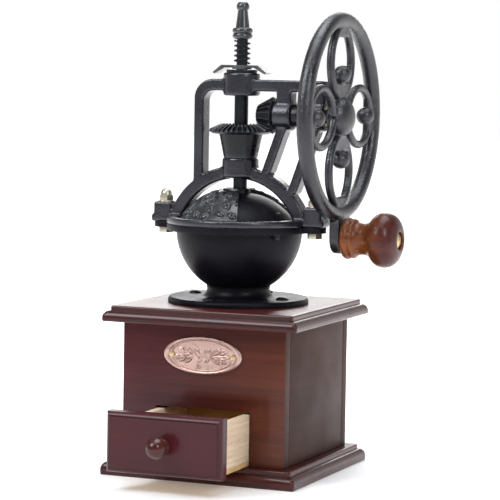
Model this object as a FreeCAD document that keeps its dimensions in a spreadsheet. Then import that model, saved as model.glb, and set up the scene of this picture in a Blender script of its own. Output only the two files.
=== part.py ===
"""Hand-wheel coffee mill: wooden box with a drawer, cast hopper, bevel gears and flywheel.

Frame: origin at the centre of the box's underside, +Z up, the drawer opens towards -Y,
the flywheel stands on the +X side. Millimetres.
"""
import FreeCAD, Part
import math
import os
import Sketcher

OUT = "parts"
SHEET = "Sizes"
TOLERANCE = 1e-6

# ---------------------------------------------------------------- driving dimensions

DIMENSIONS = {
    # box
    "board_half": 62.8, "step_half": 58.8, "case_half": 52.4,
    "plinth_nose": 7.8, "plinth_top": 10.6, "lid_under": 92.8, "lid_nose": 99.4, "lid_top": 102.3,
    "nose_round": 4.4, "nose_foot": 1.0, "step_round": 1.2, "board_corner": 2.0, "wall": 8.0,
    "grounds_hole": 15.5,
    # drawer
    "drawer_open": 48.0, "opening_half": 30.5, "opening_top": 43.0, "drawer_half": 30.0,
    "drawer_floor": 10.9, "drawer_top": 41.5, "drawer_wall": 4.5, "drawer_depth": 88.0,
    "drawer_base": 3.0, "front_half": 36.5, "front_top": 46.7, "front_thick": 8.5,
    "front_round": 3.2, "knob_reach": 15.5, "knob_head": 6.0, "knob_neck": 3.4,
    "knob_hole": 2.0, "runner_high": 12.0, "screw_core": 2.0, "screw_head": 3.9,
    # label
    "label_z": 75.0, "label_half_x": 25.2, "label_half_z": 11.3, "label_thick": 1.0,
    "label_rim": 1.8, "label_rise": 0.8, "label_pin_x": 20.0, "label_pin": 1.1,
    # bowl
    "foot_radius": 43.0, "foot_screw_circle": 32.0, "foot_thick": 3.5, "neck_radius": 19.2,
    "neck_z": 110.5,
    "belly_radius": 38.4, "belly_z": 145.0, "wall_iron": 3.2, "rim_radius": 44.3,
    "rim_z": 146.3, "ring_z": 150.3, "ring_top": 154.2, "ring_inner": 38.3, "throat": 16.0,
    "ear_x": 49.3, "ear_round": 7.0, "bolt_radius": 2.5, "bolt_hole": 2.6,
    # cover
    "cover_radius": 43.4, "cover_top": 172.6, "cover_wall": 2.2, "door_gap": 0.4,
    # yoke
    "arch_z": 138.6, "arch_inner": 39.9, "arch_outer": 47.2, "yoke_depth": 11.0,
    "post_left": 28.9, "post_wide": 5.6, "bar_low": 231.6, "bar_high": 238.2, "bar_right": 55.5,
    "bend_outer": 12.0, "bend_inner": 6.5, "boss_radius": 10.8, "upper_boss_z": 228.7,
    "upper_boss_high": 13.4, "lower_boss_z": 178.9, "lower_boss_high": 11.5,
    "side_boss_radius": 8.7, "side_boss_x": 22.8, "side_boss_long": 11.7,
    "outer_boss_x": 45.5, "outer_boss_long": 10.0, "leg_wide": 5.4,
    "lug_inner": 44.0, "lug_outer": 54.8, "lug_depth": 12.4, "lug_top": 162.0,
    # vertical shaft
    "shaft_radius": 4.2, "thread_radius": 3.4, "thread_z": 242.4, "shaft_top": 268.6,
    "shaft_foot": 95.0, "running": 0.05, "bush_wall": 1.6,
    "washer_radius": 9.4, "washer_top": 244.2, "wing_half": 17.6, "wing_flat": 12.0,
    "wing_under": 245.4, "wing_top": 247.0, "wing_tip": 241.6, "wing_deep": 9.0,
    "spring_low": 247.4, "spring_high": 262.3, "spring_radius": 4.5, "spring_wire": 1.1,
    "spring_pitch": 3.0, "finial_z": 262.6, "finial_top": 285.5,
    # gears
    "axis_z": 217.0, "gear_teeth": 36.0, "pinion_teeth": 18.0,
    "gear_hub_z": 190.7, "gear_pin": 1.3, "gear_hub_low": 10.3, "gear_hub_high": 13.2,
    "gear_cone_z": 205.0,
    # wheel
    "wheel_shaft": 4.1, "wheel_x": 64.0, "rim_centre": 58.2, "rim_tube": 4.3, "loop_tube": 2.15,
    "loop_wide": 17.2, "ball_radius": 5.1, "ball_near": 25.5, "ball_far": 42.0, "hub_radius": 11.3,
    "lug_x": 62.2, "crank_thick": 5.6, "crank_radius": 72.5, "crank_half": 9.0,
    # grip
    "grip_start": 68.9, "grip_long": 35.0, "grip_bead": 12.4, "grip_waist": 9.3, "grip_end": 16.5,
    "spindle_radius": 2.6, "spindle_head": 4.6,
}


def expression_of(value):
    """The text of a size, or of a plain number, for setExpression."""
    return value.text if isinstance(value, Size) else repr(float(value))


def number_of(value):
    return value.value if isinstance(value, Size) else float(value)


class Size:
    """A length that knows its value and the spreadsheet expression that gives it."""

    def __init__(self, value, text):
        self.value = value
        self.text = text

    def __add__(self, other):
        return Size(self.value + number_of(other), f"({self.text} + {expression_of(other)})")

    def __radd__(self, other):
        return Size(number_of(other) + self.value, f"({expression_of(other)} + {self.text})")

    def __sub__(self, other):
        return Size(self.value - number_of(other), f"({self.text} - {expression_of(other)})")

    def __rsub__(self, other):
        return Size(number_of(other) - self.value, f"({expression_of(other)} - {self.text})")

    def __mul__(self, other):
        return Size(self.value * number_of(other), f"({self.text} * {expression_of(other)})")

    def __rmul__(self, other):
        return self * other

    def __truediv__(self, other):
        return Size(self.value / number_of(other), f"({self.text} / {expression_of(other)})")

    def __neg__(self):
        return Size(-self.value, f"(0 - {self.text})")


class Dimensions:
    """Every alias of the sheet as an attribute."""

    def __init__(self, table):
        for alias, value in table.items():
            setattr(self, alias, Size(value, f"{SHEET}.{alias}"))


doc = FreeCAD.newDocument("CoffeeMill")
sheet = doc.addObject("Spreadsheet::Sheet", SHEET)
for row, (alias, value) in enumerate(DIMENSIONS.items(), start=1):
    sheet.set(f"A{row}", alias)
    sheet.set(f"B{row}", str(value))
    sheet.setAlias(f"B{row}", alias)
doc.recompute()
D = Dimensions(DIMENSIONS)
sub_parts = []

# ---------------------------------------------------------------- building helpers


def new_body(name):
    body = doc.addObject("PartDesign::Body", name)
    body.Label = name
    sub_parts.append(body)
    return body


def origin_plane(body, role):
    return next(item for item in body.Origin.OriginFeatures if item.Role == role)


def new_sketch(body, role, offset=None):
    """A sketch on one of the body's own planes, moved along the plane's normal by offset."""
    drawing = body.newObject("Sketcher::SketchObject", f"{body.Name}_sketch")
    drawing.AttachmentSupport = (origin_plane(body, role), [""])
    drawing.MapMode = "FlatFace"
    if offset is not None:
        drawing.AttachmentOffset = FreeCAD.Placement(
            FreeCAD.Vector(0, 0, number_of(offset)), FreeCAD.Rotation())
        drawing.setExpression("AttachmentOffset.Base.z", expression_of(offset))
    return drawing


def pin_vertex(drawing, geometry, vertex, x, y):
    """Fix one vertex of the sketch to the expressions of its two coordinates."""
    for kind, value in (("DistanceX", x), ("DistanceY", y)):
        index = drawing.addConstraint(
            Sketcher.Constraint(kind, -1, 1, geometry, vertex, number_of(value)))
        if isinstance(value, Size):
            drawing.setExpression(f"Constraints[{index}]", value.text)


def add_outline(drawing, outline):
    """Closed outline: (x, y) is a straight run to a point, (via_x, via_y, x, y) an arc to it."""
    points = [FreeCAD.Vector(number_of(item[-2]), number_of(item[-1]), 0) for item in outline]
    first = drawing.GeometryCount
    for index, item in enumerate(outline[1:] + outline[:1], start=1):
        start = points[index - 1]
        end = points[index % len(points)]
        if len(item) == 4:
            via = FreeCAD.Vector(number_of(item[0]), number_of(item[1]), 0)
            arc = Part.Arc(start, via, end)
            drawing.addGeometry(arc)
        else:
            drawing.addGeometry(Part.LineSegment(start, end))
    for index, item in enumerate(outline):
        geometry = first + index
        begin, finish = ends_of(drawing, geometry, points[index])
        pin_vertex(drawing, geometry, begin, item[-2], item[-1])
        following = first + (index + 1) % len(outline)
        joined, _ = ends_of(drawing, following, points[(index + 1) % len(points)])
        drawing.addConstraint(Sketcher.Constraint("Coincident", geometry, finish, following, joined))
    for index, item in enumerate(outline[1:] + outline[:1]):
        if len(item) == 4:
            pass_through(drawing, first + index, item[0], item[1])


def pass_through(drawing, arc, x, y):
    """Hold an arc to a point on its way, so that the sketch leaves it no freedom."""
    point = FreeCAD.Vector(number_of(x), number_of(y), 0)
    marker = drawing.addGeometry(Part.Point(point), True)
    pin_vertex(drawing, marker, 1, x, y)
    drawing.addConstraint(Sketcher.Constraint("PointOnObject", marker, 1, arc))


def ends_of(drawing, geometry, start):
    """The vertex numbers of a piece of outline's start and end, in the outline's direction."""
    if drawing.getPoint(geometry, 1).distanceToPoint(start) < TOLERANCE * 1000:
        return 1, 2
    return 2, 1


def add_circle(drawing, x, y, radius):
    centre = FreeCAD.Vector(number_of(x), number_of(y), 0)
    index = drawing.addGeometry(Part.Circle(centre, FreeCAD.Vector(0, 0, 1), number_of(radius)))
    pin_vertex(drawing, index, 3, x, y)
    constraint = drawing.addConstraint(Sketcher.Constraint("Radius", index, number_of(radius)))
    if isinstance(radius, Size):
        drawing.setExpression(f"Constraints[{constraint}]", radius.text)


def rectangle(x0, y0, x1, y1):
    return [(x0, y0), (x1, y0), (x1, y1), (x0, y1)]


def rounded_rectangle(half_x, half_y, radius):
    """A centred rectangle with round corners, as an outline."""
    inset = radius * (1 - math.sqrt(0.5))
    outline = [(half_x - radius, -half_y)]
    for sign_x, sign_y in ((1, -1), (1, 1), (-1, 1), (-1, -1)):
        corner_x = half_x if sign_x > 0 else -half_x
        corner_y = half_y if sign_y > 0 else -half_y
        via = (corner_x - sign_x * inset, corner_y - sign_y * inset)
        side = (corner_x, corner_y - sign_y * radius)
        level = (corner_x - sign_x * radius, corner_y)
        ahead, behind = (side, level) if sign_x * sign_y < 0 else (level, side)
        if len(outline) > 1:
            outline.append(behind)
        outline.append((*via, *ahead))
    return outline


def extrude(body, drawing, kind, length, symmetric):
    volume = body.Shape.Volume if body.Tip is not None else 0.0
    feature = body.newObject(f"PartDesign::{kind}", f"{body.Name}_{kind.lower()}")
    feature.Profile = drawing
    feature.Length = number_of(length)
    if isinstance(length, Size):
        feature.setExpression("Length", length.text)
    if symmetric:
        feature.SideType = "Symmetric"
    doc.recompute()
    grows = kind == "Pad"
    changed = body.Shape.Volume - volume
    if (changed <= TOLERANCE) if grows else (changed >= -TOLERANCE):
        raise RuntimeError(f"{feature.Name} changes nothing")
    return feature


def pad(body, role, outline, length, offset=None, symmetric=False):
    drawing = new_sketch(body, role, offset)
    add_outline(drawing, outline)
    return extrude(body, drawing, "Pad", length, symmetric)


def pocket(body, role, outline, length, offset=None, symmetric=False):
    drawing = new_sketch(body, role, offset)
    add_outline(drawing, outline)
    return extrude(body, drawing, "Pocket", length, symmetric)


def round_pad(body, role, x, y, radius, start, length):
    """A boss from start, over length, along the plane's normal."""
    drawing = new_sketch(body, role, start)
    add_circle(drawing, x, y, radius)
    return extrude(body, drawing, "Pad", length, False)


def drill(body, role, x, y, radius, start, length):
    """A round hole from start, over length, along the plane's normal."""
    drawing = new_sketch(body, role, start + length)
    add_circle(drawing, x, y, radius)
    return extrude(body, drawing, "Pocket", length, False)


def revolve(body, outline, kind="Revolution"):
    """Turn an outline of (radius, height) about the body's own Z axis."""
    drawing = new_sketch(body, "XZ_Plane")
    add_outline(drawing, outline)
    feature = body.newObject(f"PartDesign::{kind}", f"{body.Name}_turned")
    feature.Profile = drawing
    feature.ReferenceAxis = (drawing, ["V_Axis"])
    feature.Angle = 360
    doc.recompute()
    return feature


def cap(edge, low, top):
    """The arc of a sphere about the axis that closes a profile from (edge, low) to (0, top)."""
    rise = number_of(top) - number_of(low)
    radius = (number_of(edge) ** 2 + rise ** 2) / (2 * rise)
    half_turn = math.acos((radius - rise) / radius) / 2
    return (radius * math.sin(half_turn), number_of(top) - radius + radius * math.cos(half_turn), 0, top)


def turned(name, outline):
    body = new_body(name)
    revolve(body, outline)
    return body


def round_edges(body, chosen, radius, kind="Fillet"):
    """Fillet or chamfer the edges of the body's last feature for which chosen(edge) is true."""
    tip = body.Tip
    names = [f"Edge{i}" for i, edge in enumerate(tip.Shape.Edges, start=1) if chosen(edge)]
    feature = body.newObject(f"PartDesign::{kind}", f"{body.Name}_{kind.lower()}")
    feature.Base = (tip, names)
    target = "Radius" if kind == "Fillet" else "Size"
    setattr(feature, target, number_of(radius))
    if isinstance(radius, Size):
        feature.setExpression(target, radius.text)
    doc.recompute()
    return feature


def level_edge(height):
    """Chooses the edges that lie flat at a height."""
    def chosen(edge):
        box = edge.BoundBox
        level = number_of(height)
        return abs(box.ZMin - level) < 0.01 and abs(box.ZMax - level) < 0.01
    return chosen


def place(body, x=0, y=0, z=0, axis=(0, 0, 1), angle=0):
    body.Placement = FreeCAD.Placement(
        FreeCAD.Vector(number_of(x), number_of(y), number_of(z)),
        FreeCAD.Rotation(FreeCAD.Vector(*axis), angle))
    for name, value in (("x", x), ("y", y), ("z", z)):
        if isinstance(value, Size):
            body.setExpression(f"Placement.Base.{name}", value.text)
    return body


ALONG_X = {"axis": (0, 1, 0), "angle": 90}
ALONG_MINUS_Y = {"axis": (1, 0, 0), "angle": 90}

# ---------------------------------------------------------------- wooden box


def moulded_board(name, low, nose, top, plate_half):
    """A square board with a rounded nose below and a smaller step above it."""
    body = new_body(name)
    square = rounded_rectangle(plate_half, plate_half, D.board_corner)
    pad(body, "XY_Plane", square, nose - low, low)
    round_edges(body, level_edge(nose), D.nose_round)
    round_edges(body, level_edge(low), D.nose_foot)
    step = rounded_rectangle(D.step_half, D.step_half, D.board_corner)
    pad(body, "XY_Plane", step, top - nose + 1, nose - 1)
    round_edges(body, level_edge(top), D.step_round)
    return body


def make_boards():
    moulded_board("plinth_board", D.plinth_nose * 0, D.plinth_nose, D.plinth_top, D.board_half)
    lid = moulded_board("lid_board", D.lid_under, D.lid_nose, D.lid_top, D.board_half)
    drill(lid, "XY_Plane", 0, 0, D.grounds_hole, D.lid_under - 1, D.lid_top - D.lid_under + 2)


def make_panels():
    high = D.lid_under - D.plinth_top
    inner = D.case_half - D.wall
    front = new_body("front_panel")
    pad(front, "XY_Plane", rectangle(-D.case_half, -D.case_half, D.case_half, -inner),
        high, D.plinth_top)
    pocket(front, "XZ_Plane",
           rectangle(-D.opening_half, D.plinth_top - 1, D.opening_half, D.opening_top), 200, None, True)
    back = new_body("back_panel")
    pad(back, "XY_Plane", rectangle(-D.case_half, inner, D.case_half, D.case_half),
        high, D.plinth_top)
    for name, low, top in (("left_panel", -D.case_half, -inner), ("right_panel", inner, D.case_half)):
        side = new_body(name)
        pad(side, "XY_Plane", rectangle(low, -inner, top, inner), high, D.plinth_top)


def make_runners():
    """Two strips beside the drawer that keep it straight."""
    body = new_body("drawer_runners")
    inner = D.case_half - D.wall
    near = D.opening_half + 0.2
    for low, top in ((-inner, -near), (near, inner)):
        part = rectangle(low, -inner, top, inner)
        pad(body, "XY_Plane", part, D.runner_high, D.plinth_top)


def make_board_screw():
    """A screw that goes up through the plinth board into the case's side panels."""
    shank = primitive("Cylinder", "screw_shank", shift_by(0, 0, 0.4), Radius=D.screw_core,
                      Height=D.plinth_top + 14)
    head = primitive("Cone", "screw_head_cone", shift_by(0, 0, 0.4), Radius1=D.screw_head,
                     Radius2=D.screw_core, Height=2.4)
    screw = doc.addObject("Part::Fuse", "board_screw")
    screw.Base = shank
    screw.Tool = head
    return screw


def copies(name, source, places):
    """One node that holds a copy of a source object at each place."""
    doc.recompute()
    solids = []
    for x, y, z in places:
        solid = source.Shape.copy()
        shift = FreeCAD.Vector(number_of(x), number_of(y), number_of(z))
        solid.Placement = FreeCAD.Placement(shift, FreeCAD.Rotation()) * solid.Placement
        solids.append(solid)
    group = doc.addObject("Part::Feature", name)
    group.Shape = Part.makeCompound(solids)
    group.Label = name
    sub_parts.append(group)
    return group


def corners(half_x, half_y, z=0):
    return [(sx * half_x, sy * half_y, z) for sx in (-1, 1) for sy in (-1, 1)]


# ---------------------------------------------------------------- drawer


def make_drawer():
    front_face = -D.case_half - D.drawer_open
    rear = front_face + D.drawer_depth
    floor_top = D.drawer_floor + D.drawer_base
    inner = D.drawer_half - D.drawer_wall
    side_high = D.drawer_top - floor_top

    front = new_body("drawer_front")
    outline = rectangle(-D.front_half, D.drawer_floor + 0.1, D.front_half, D.front_top)
    pad(front, "XZ_Plane", outline, D.front_thick, -front_face)
    face = number_of(front_face - D.front_thick)

    def outer_front_edge(edge):
        box = edge.BoundBox
        return abs(box.YMin - face) < 0.01 and abs(box.YMax - face) < 0.01

    round_edges(front, outer_front_edge, D.front_round)
    drill(front, "XZ_Plane", 0, knob_height(), D.knob_hole, -front_face - 1, D.front_thick + 2)

    base = new_body("drawer_bottom")
    pad(base, "XY_Plane", rectangle(-D.drawer_half, front_face, D.drawer_half, rear),
        D.drawer_base, D.drawer_floor)
    for name, low, top in (("drawer_left_side", -D.drawer_half, -inner),
                           ("drawer_right_side", inner, D.drawer_half)):
        side = new_body(name)
        pad(side, "XY_Plane", rectangle(low, front_face, top, rear), side_high, floor_top)
    back = new_body("drawer_back")
    pad(back, "XY_Plane", rectangle(-inner, rear - D.drawer_wall, inner, rear), side_high, floor_top)
    make_drawer_knob(front_face)


def knob_height():
    return (D.drawer_floor + D.front_top) / 2


def make_drawer_knob(front_face):
    seat = front_face - D.front_thick
    reach = D.knob_reach
    knob = turned("drawer_knob", [
        (D.knob_hole, 0), (D.knob_neck + 1.4, 0), (D.knob_neck + 1.4, 1.2),
        (D.knob_neck, reach * 0.3, D.knob_neck + 0.3, reach * 0.45),
        (D.knob_head - 0.2, reach * 0.52, D.knob_head - 0.4, reach * 0.72),
        cap(D.knob_head - 0.4, reach * 0.72, reach), (0, reach * 0.6), (D.knob_hole, reach * 0.6)])
    place(knob, 0, seat, knob_height(), **ALONG_MINUS_Y)
    screw = turned("drawer_knob_screw", [
        (0, -2), (D.screw_head, -2), (D.screw_head, 0), (D.knob_hole, 0),
        (D.knob_hole, D.front_thick + reach * 0.6), (0, D.front_thick + reach * 0.6)])
    place(screw, 0, front_face, knob_height(), **ALONG_MINUS_Y)


# ---------------------------------------------------------------- label


OVAL_ARCS = 12


def ellipse_outline(half_x, half_y):
    """An oval as a ring of arcs, each through three of its points."""
    def at(step):
        turn = math.pi * step / OVAL_ARCS
        return (math.cos(turn) * half_x, math.sin(turn) * half_y)
    return [(*at(2 * index - 1), *at(2 * index)) for index in range(OVAL_ARCS)]


def make_label():
    """An oval plate with a raised rim, held by two pins."""
    plate = new_body("label_plate")
    outline = [shifted(item) for item in ellipse_outline(D.label_half_x, D.label_half_z)]
    inner = [shifted(item) for item in ellipse_outline(D.label_half_x - D.label_rim,
                                                       D.label_half_z - D.label_rim)]
    pad(plate, "XZ_Plane", outline, D.label_thick + D.label_rise, D.case_half)
    pocket(plate, "XZ_Plane", inner, D.label_rise, D.case_half + D.label_thick + D.label_rise)
    pins = new_body("label_pins")
    for side in (-1, 1):
        drill(plate, "XZ_Plane", side * D.label_pin_x, D.label_z, D.label_pin,
              D.case_half - 1, D.label_thick + 2)
        round_pad(pins, "XZ_Plane", side * D.label_pin_x, D.label_z, D.label_pin,
                  D.case_half, D.label_thick)
        round_pad(pins, "XZ_Plane", side * D.label_pin_x, D.label_z, D.label_pin + 0.6,
                  D.case_half + D.label_thick, 0.6)


def shifted(item):
    """Lift an outline item drawn about the label's centre to the label's height."""
    if len(item) == 4:
        return (item[0], item[1] + D.label_z, item[2], item[3] + D.label_z)
    return (item[0], item[1] + D.label_z)


# ---------------------------------------------------------------- hopper bowl and cover


def make_bowl():
    wall = D.wall_iron
    body = turned("bowl", [
        (D.throat, D.lid_top), (D.foot_radius, D.lid_top),
        (D.foot_radius, D.lid_top + D.foot_thick - 1.2),
        (D.foot_radius - 1.2, D.lid_top + D.foot_thick), (26, D.lid_top + D.foot_thick),
        (21, D.lid_top + 4.6, D.neck_radius, D.neck_z), (D.neck_radius + 0.4, D.neck_z + 2.5),
        (33.6, 127.9, D.belly_radius, D.belly_z), (D.belly_radius, D.rim_z),
        (D.rim_radius, D.rim_z), (D.rim_radius, D.ring_z), (D.belly_radius - wall, D.ring_z),
        (D.belly_radius - wall, D.belly_z), (30.8, 129.8, D.throat, D.neck_z + 6.2)])
    for side in (-1, 1):
        low = D.rim_z + 0.4
        ear = rectangle(side * 40, -D.ear_round, side * (D.ear_x + 2), D.ear_round)
        pad(body, "XY_Plane", ear if side > 0 else mirrored(ear), D.ring_z - low, low)
        round_pad(body, "XY_Plane", side * D.ear_x, 0, D.ear_round, low, D.ring_z - low)
        drill(body, "XY_Plane", side * D.ear_x, 0, D.bolt_hole, low - 1, D.ring_z - low + 2)
    for x, y, _ in foot_screw_places():
        drill(body, "XY_Plane", x, y, D.screw_core + 0.1, D.lid_top - 1, D.foot_thick + 2)


FOOT_SCREW_TURN = math.radians(79)


def foot_screw_places():
    """Four screws a quarter turn apart on one circle of the bowl's foot."""
    across = D.foot_screw_circle * math.cos(FOOT_SCREW_TURN)
    along = D.foot_screw_circle * math.sin(FOOT_SCREW_TURN)
    return [(across, along, 0), (-along, across, 0), (-across, -along, 0), (along, -across, 0)]


def mirrored(outline):
    """The same corners in the opposite order, for a rectangle drawn on the negative side."""
    return [outline[1], outline[0], outline[3], outline[2]]


def make_burrs():
    turned("outer_burr", [
        (12.6, D.lid_top), (D.throat, D.lid_top), (D.throat, D.neck_z + 4), (13.6, D.neck_z + 4)])
    body = turned("inner_burr", [
        (D.shaft_radius, D.lid_top - 0.3), (11.9, D.lid_top - 0.3), (12.1, D.lid_top + 4),
        (6.4, D.neck_z + 5), (D.shaft_radius, D.neck_z + 5)])
    flute = new_sketch(body, "XY_Plane", D.neck_z + 6)
    add_outline(flute, [(9.9, -0.9), (13.5, -1.3), (13.5, 1.3), (9.9, 0.9)])
    groove = extrude(body, flute, "Pocket", 20, False)
    pattern = body.newObject("PartDesign::PolarPattern", "burr_flutes")
    pattern.Originals = [groove]
    pattern.Axis = (flute, ["N_Axis"])
    pattern.Angle = 360
    pattern.Occurrences = 12
    body.Tip = pattern
    turned("burr_nut", [
        (D.shaft_radius, D.shaft_foot + 1), (7.2, D.shaft_foot + 1), (7.2, D.lid_top - 0.3),
        (D.shaft_radius, D.lid_top - 0.3)])


def sphere_height(radius, at):
    """Height above a sphere's centre of its surface at a distance from its axis."""
    return math.sqrt(number_of(radius) ** 2 - number_of(at) ** 2)


def shell_profile(outer, thick, centre, hole, foot):
    """Section of a spherical cap with a hole in its crown and a flat foot."""
    inner = outer - thick
    low_outer = math.sqrt(number_of(outer) ** 2 - (number_of(foot) - number_of(centre)) ** 2)
    low_inner = math.sqrt(number_of(inner) ** 2 - (number_of(foot) - number_of(centre)) ** 2)
    middle = number_of(outer) * math.sin(math.radians(32))
    return [
        (low_outer, foot),
        (middle, centre + sphere_height(outer, middle), hole, centre + sphere_height(outer, hole)),
        (hole, centre + sphere_height(inner, hole)),
        (middle, centre + sphere_height(inner, middle), low_inner, foot)]


def sector(start, finish, inner, outer):
    """Outline of a slice of a circle between two azimuths in degrees."""
    def at(radius, angle):
        turn = math.radians(angle)
        return (number_of(radius) * math.cos(turn), number_of(radius) * math.sin(turn))
    middle = (start + finish) / 2
    return [at(inner, start), at(outer, start), (*at(outer, middle), *at(outer, finish)),
            at(inner, finish)]


DOOR_START = -70.0
DOOR_FINISH = 44.0
DOOR_LAP = 2.5
DOOR_KNOB = -21.0


def make_cover():
    centre = D.cover_top - D.cover_radius
    cover = turned("hopper_cover", shell_profile(D.cover_radius, D.cover_wall, centre, 6.5, D.ring_z))
    opening = sector(DOOR_START, DOOR_FINISH, 11, 60)
    pocket(cover, "XY_Plane", opening, 60, D.cover_top + 5)
    door_outer = D.cover_radius - D.cover_wall - D.door_gap
    door = turned("hopper_door", shell_profile(door_outer, 2.0, centre, 6.5 + D.running, D.ring_z + 0.3))
    kept = sector(DOOR_FINISH + DOOR_LAP, DOOR_START - DOOR_LAP + 360, 10, 60)
    pocket(door, "XY_Plane", kept, 60, D.cover_top + 5)
    turn = math.radians(DOOR_KNOB)
    centre_x, centre_y = 32.0 * math.cos(turn), 32.0 * math.sin(turn)
    round_pad(door, "XY_Plane", centre_x, centre_y, 1.6, D.ring_z + 2.2, 6.2)
    crown = centre + sphere_height(D.cover_radius, 6.5)
    under = centre + sphere_height(door_outer - 2.0, 9.0) - 0.3
    turned("cover_bush", [
        (D.shaft_radius + 0.4, under - 1.6), (9.0, under - 1.6), (9.0, under), (6.5, under),
        (6.5, crown), (D.shaft_radius + 0.4, crown)])


# ---------------------------------------------------------------- yoke


def arch_side(radius, height):
    """Distance from the axis of a circle about the arch's centre, at a height."""
    return math.sqrt(number_of(radius) ** 2 - (number_of(height) - number_of(D.arch_z)) ** 2)


def slanted_leg(top_x, top_z, foot_x, foot_z):
    half = D.leg_wide / 2
    return [(foot_x - half, foot_z), (foot_x + half, foot_z), (top_x + half, top_z),
            (top_x - half, top_z)]


def make_yoke():
    body = new_body("yoke_frame")
    depth = D.yoke_depth
    spring_line = D.ring_z + 1.7
    outer = arch_side(D.arch_outer, spring_line)
    inner = arch_side(D.arch_inner, spring_line)
    arch = [(-outer, spring_line), (0, D.arch_z + D.arch_outer, outer, spring_line),
            (inner, spring_line), (0, D.arch_z + D.arch_inner, -inner, spring_line)]
    pad(body, "XZ_Plane", arch, depth, None, True)
    make_yoke_bar(body, depth)
    make_yoke_legs(body, depth)
    ring = new_sketch(body, "XY_Plane", D.ring_z)
    add_circle(ring, 0, 0, D.rim_radius)
    add_circle(ring, 0, 0, D.ring_inner)
    extrude(body, ring, "Pad", D.ring_top - D.ring_z, False)
    make_yoke_lugs(body)
    make_yoke_bosses(body)


def make_yoke_bar(body, depth):
    left = -D.post_left
    right = left + D.post_wide
    bend = (1 - math.sqrt(0.5))
    foot = 174.0
    bar = [(left, foot), (right, foot), (right, D.bar_low - D.bend_inner),
           (right + D.bend_inner * bend, D.bar_low - D.bend_inner * bend,
            right + D.bend_inner, D.bar_low),
           (D.bar_right, D.bar_low), (D.bar_right, D.bar_high), (left + D.bend_outer, D.bar_high),
           (left + D.bend_outer * bend, D.bar_high - D.bend_outer * bend,
            left, D.bar_high - D.bend_outer)]
    pad(body, "XZ_Plane", bar, depth, None, True)


def make_yoke_legs(body, depth):
    low = D.axis_z - 6
    pad(body, "XZ_Plane", slanted_leg(29.0, low, 18.6, 182.0), depth, None, True)
    pad(body, "XZ_Plane", slanted_leg(50.0, low, 35.4, 170.0), depth, None, True)
    for x, wide in ((D.side_boss_x + 2.5, 8.5), (D.outer_boss_x + 1.5, 8.5)):
        web = rectangle(x, D.axis_z, x + wide, D.bar_low + 1)
        pad(body, "XZ_Plane", web, depth, None, True)


def make_yoke_lugs(body):
    for side in (-1, 1):
        block = rectangle(side * D.lug_inner, D.ring_top, side * D.lug_outer, D.lug_top)
        plate = rectangle(side * 40, D.ring_z, side * (D.ear_x + D.ear_round), D.ring_top)
        for outline in (block, plate):
            pad(body, "XZ_Plane", outline if side > 0 else mirrored(outline), D.lug_depth, None, True)
        drill(body, "XY_Plane", side * D.ear_x, 0, D.bolt_hole, D.ring_z - 1,
              D.lug_top - D.ring_z + 2)


def make_yoke_bosses(body):
    bush = D.shaft_radius + D.running + D.bush_wall
    for low, high in ((D.upper_boss_z, D.upper_boss_high), (D.lower_boss_z, D.lower_boss_high)):
        round_pad(body, "XY_Plane", 0, 0, D.boss_radius, low, high)
        drill(body, "XY_Plane", 0, 0, bush, low - 3, high + 4)
    side_bush = D.wheel_shaft + D.running + D.bush_wall
    for start, length in ((D.side_boss_x, D.side_boss_long), (D.outer_boss_x, D.outer_boss_long)):
        round_pad(body, "YZ_Plane", 0, D.axis_z, D.side_boss_radius, start, length)
        drill(body, "YZ_Plane", 0, D.axis_z, side_bush, start - 1, length + 2)


def bush_profile(shaft, low, high):
    inner = shaft + D.running
    return [(inner, low), (inner + D.bush_wall, low), (inner + D.bush_wall, high), (inner, high)]


def make_bushes():
    turned("upper_bush", bush_profile(D.shaft_radius, D.upper_boss_z,
                                      D.upper_boss_z + D.upper_boss_high))
    turned("lower_bush", bush_profile(D.shaft_radius, D.lower_boss_z,
                                      D.lower_boss_z + D.lower_boss_high))
    for name, start, length in (("inner_wheel_bush", D.side_boss_x, D.side_boss_long),
                                ("outer_wheel_bush", D.outer_boss_x, D.outer_boss_long)):
        bush = turned(name, bush_profile(D.wheel_shaft, length * 0, length))
        place(bush, start, 0, D.axis_z, **ALONG_X)


# ---------------------------------------------------------------- vertical shaft and gears


def make_drive_shaft():
    body = turned("drive_shaft", [
        (0, D.shaft_foot), (D.shaft_radius - 0.6, D.shaft_foot),
        (D.shaft_radius, D.shaft_foot + 0.6), (D.shaft_radius, D.thread_z),
        (D.thread_radius, D.thread_z), (D.thread_radius, D.shaft_top), (0, D.shaft_top)])
    drill(body, "YZ_Plane", 0, gear_pin_height(), D.gear_pin, -D.boss_radius, D.boss_radius * 2)


def gear_pin_height():
    return D.gear_hub_z + 5


PITCH_SLOPE = 0.5      # pitch radius of the pinion over its distance from the apex
TIP_RISE = 0.04        # tooth height over the pitch cone, per millimetre from the apex
ROOT_FALL = 0.054
GAP_HALF = 0.0525      # half a gap's width on the pitch cone, per millimetre from the apex
FLANK = math.tan(math.radians(20))
GAP_ABOVE = 0.1


def gap_outline(distance, height_of, reach, fall):
    """Trapezoid of one tooth gap at a distance from the apex; every line runs to the apex."""
    half_open = (GAP_HALF + GAP_ABOVE * FLANK) * distance
    half_root = (GAP_HALF - ROOT_FALL * FLANK) * distance
    top = height_of(PITCH_SLOPE + reach, distance)
    root = height_of(PITCH_SLOPE + fall, distance)
    return [(-half_root, root), (half_root, root), (half_open, top), (-half_open, top)]


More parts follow.
